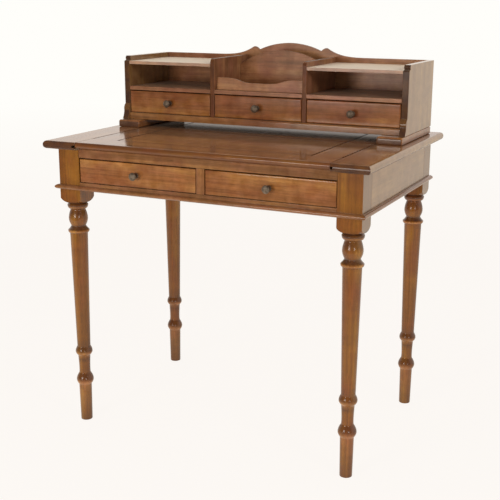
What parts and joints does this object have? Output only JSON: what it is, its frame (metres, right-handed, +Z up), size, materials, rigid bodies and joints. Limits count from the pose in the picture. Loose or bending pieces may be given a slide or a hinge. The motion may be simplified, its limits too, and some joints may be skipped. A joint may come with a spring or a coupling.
{
  "type": "writing desk",
  "caption": "Small wooden writing desk on turned legs, with drawers under a pull-out writing slab and a low gallery with pigeonholes, small drawers and a letter rack.",
  "frame": {"origin": "on the floor under the middle of the desk", "axes": "+Z up, +X to the right of someone facing the desk, -Y towards that person"},
  "size_m": [0.854, 0.602, 0.9841],
  "materials": {
    "stained_wood": "warm mid-brown stain under satin lacquer",
    "stained_top": "mid-brown stain, glossier lacquer on the writing surface",
    "stained_drawer": "warm reddish-brown stain under satin lacquer",
    "bare_wood": "plain sanded wood inside drawers and on runners",
    "pewter": "dull grey pewter"
  },
  "bodies": {
    "desk_frame": {"leg_front_left": "stained_wood", "leg_front_right": "stained_wood", "leg_back_left": "stained_wood", "leg_back_right": "stained_wood", "side_apron_left": "stained_wood", "side_apron_right": "stained_wood", "back_apron": "stained_wood", "top_rail": "stained_wood", "bottom_rail": "stained_wood", "centre_stile": "stained_wood", "moulding_front": "stained_wood", "moulding_left": "stained_wood", "moulding_right": "stained_wood", "drawer_runner_left": "bare_wood", "drawer_runner_centre": "bare_wood", "drawer_runner_right": "bare_wood", "end_board_left": "stained_top", "end_board_right": "stained_top", "gallery_foot_left": "stained_wood", "gallery_foot_right": "stained_wood", "gallery_side_left": "stained_wood", "gallery_side_right": "stained_wood", "divider_left": "stained_wood", "divider_right": "stained_wood", "base_board": "stained_wood", "middle_shelf": "stained_wood", "top_shelf_left": "stained_wood", "top_shelf_right": "stained_wood", "back_board": "stained_wood", "letter_rack_board": "stained_wood", "rack_fence": "stained_wood"},
    "writing_slab": {"slab_front_rail": "stained_top", "slab_rear_rail": "stained_top", "slab_stile_left": "stained_top", "slab_stile_right": "stained_top", "slab_panel": "stained_top"},
    "case_drawer_left": {"case_drawer_left_front": "stained_drawer", "case_drawer_left_side_left": "bare_wood", "case_drawer_left_side_right": "bare_wood", "case_drawer_left_back": "bare_wood", "case_drawer_left_bottom": "bare_wood", "case_drawer_left_knob": "pewter"},
    "case_drawer_right": {"case_drawer_right_front": "stained_drawer", "case_drawer_right_side_left": "bare_wood", "case_drawer_right_side_right": "bare_wood", "case_drawer_right_back": "bare_wood", "case_drawer_right_bottom": "bare_wood", "case_drawer_right_knob": "pewter"},
    "gallery_drawer_left": {"gallery_drawer_left_front": "stained_drawer", "gallery_drawer_left_tray": "bare_wood", "gallery_drawer_left_bottom": "bare_wood", "gallery_drawer_left_knob": "pewter"},
    "gallery_drawer_middle": {"gallery_drawer_middle_front": "stained_drawer", "gallery_drawer_middle_tray": "bare_wood", "gallery_drawer_middle_bottom": "bare_wood", "gallery_drawer_middle_knob": "pewter"},
    "gallery_drawer_right": {"gallery_drawer_right_front": "stained_drawer", "gallery_drawer_right_tray": "bare_wood", "gallery_drawer_right_bottom": "bare_wood", "gallery_drawer_right_knob": "pewter"}
  },
  "joints": [
    {"name": "slab_slide", "type": "slide", "parent": "desk_frame", "child": "writing_slab", "axis": [0, -1, 0], "range_m": [0, 0.2]},
    {"name": "case_drawer_left_slide", "type": "slide", "parent": "desk_frame", "child": "case_drawer_left", "axis": [0, -1, 0], "range_m": [0, 0.3]},
    {"name": "case_drawer_right_slide", "type": "slide", "parent": "desk_frame", "child": "case_drawer_right", "axis": [0, -1, 0], "range_m": [0, 0.3]},
    {"name": "gallery_drawer_left_slide", "type": "slide", "parent": "desk_frame", "child": "gallery_drawer_left", "axis": [0, -1, 0], "range_m": [0, 0.15]},
    {"name": "gallery_drawer_middle_slide", "type": "slide", "parent": "desk_frame", "child": "gallery_drawer_middle", "axis": [0, -1, 0], "range_m": [0, 0.15]},
    {"name": "gallery_drawer_right_slide", "type": "slide", "parent": "desk_frame", "child": "gallery_drawer_right", "axis": [0, -1, 0], "range_m": [0, 0.15]}
  ]
}
